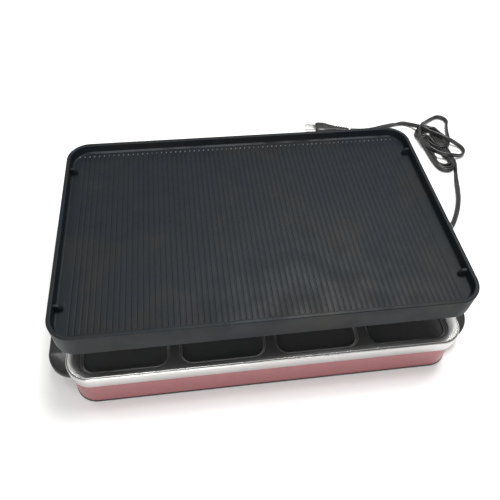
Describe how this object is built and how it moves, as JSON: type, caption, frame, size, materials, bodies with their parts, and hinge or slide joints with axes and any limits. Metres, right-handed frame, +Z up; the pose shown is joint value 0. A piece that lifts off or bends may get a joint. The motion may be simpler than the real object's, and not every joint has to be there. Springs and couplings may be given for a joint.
{
  "type": "electric griddle",
  "caption": "Tabletop electric griddle with a ribbed non-stick plate over an open pan tray, red metal base, end handles and a flat mains cord.",
  "frame": {"origin": "centre of the footprint at the level of the surface that the feet stand on, without the cord", "axes": "+X along the griddle's length towards the end where the cord leaves, +Z up, the long front side faces -Y"},
  "size_m": [0.6278, 0.4546, 0.116],
  "materials": {
    "plate_coating": "black non-stick coating on cast aluminium, satin, fine grain",
    "red_paint": "satin metallic red paint",
    "polished_steel": "polished stainless sheet with fine brushing",
    "black_plastic": "heat-resistant black plastic, semi-gloss",
    "foot_rubber": "matt black rubber",
    "ceramic": "off-white insulating block",
    "lens": "clear amber lens",
    "plated_blade": "nickel-plated blade",
    "cord_sheath": "black flexible cord sheath, semi-matt",
    "element_sheath": "heat-darkened steel tube",
    "plain_steel": "plain zinc-plated steel"
  },
  "bodies": {
    "base": {"back_element_lead": "cord_sheath", "back_support_rail": "plain_steel", "base_housing": "red_paint", "bottom_cover": "plain_steel", "cord_bundle": "cord_sheath", "cord_lead": "cord_sheath", "cord_strain_relief": "cord_sheath", "cord_tail": "cord_sheath", "cross_bar_1": "plain_steel", "cross_bar_2": "plain_steel", "cross_bar_3": "plain_steel", "element_clip_1": "plain_steel", "element_clip_2": "plain_steel", "element_clip_3": "plain_steel", "element_clip_4": "plain_steel", "element_pin_back": "element_sheath", "element_pin_front": "element_sheath", "foot_1": "foot_rubber", "foot_2": "foot_rubber", "foot_3": "foot_rubber", "foot_4": "foot_rubber", "foot_screw_1": "plain_steel", "foot_screw_2": "plain_steel", "foot_screw_3": "plain_steel", "foot_screw_4": "plain_steel", "front_element_lead": "cord_sheath", "front_support_rail": "plain_steel", "heating_element": "element_sheath", "indicator_lamp": "ceramic", "indicator_lens": "lens", "left_handle": "black_plastic", "left_handle_screw_1": "plain_steel", "left_handle_screw_2": "plain_steel", "left_heat_shield": "plain_steel", "left_tower": "black_plastic", "left_tower_screw_1": "plain_steel", "left_tower_screw_2": "plain_steel", "live_lead": "cord_sheath", "pan_tray": "polished_steel", "plug_blade_1": "plated_blade", "plug_blade_2": "plated_blade", "plug_body": "cord_sheath", "right_handle": "black_plastic", "right_handle_screw_1": "plain_steel", "right_handle_screw_2": "plain_steel", "right_heat_shield": "plain_steel", "right_tower": "black_plastic", "right_tower_screw_1": "plain_steel", "right_tower_screw_2": "plain_steel", "supply_lead": "cord_sheath", "terminal_block": "ceramic", "thermostat_body": "ceramic", "trim_band": "polished_steel"},
    "plate": {"grill_plate": "plate_coating"},
    "knob": {"thermostat_spindle": "plain_steel", "control_knob": "black_plastic"}
  },
  "joints": [
    {"name": "plate_lift", "type": "slide", "parent": "base", "child": "plate", "axis": [0, 0, 1], "range_m": [0, 0.15]},
    {"name": "knob_turn", "type": "hinge", "parent": "base", "child": "knob", "pos_m": [0.222, -0.045, 0.071], "axis": [-1, 0, 0], "range_deg": [0, 270]}
  ]
}
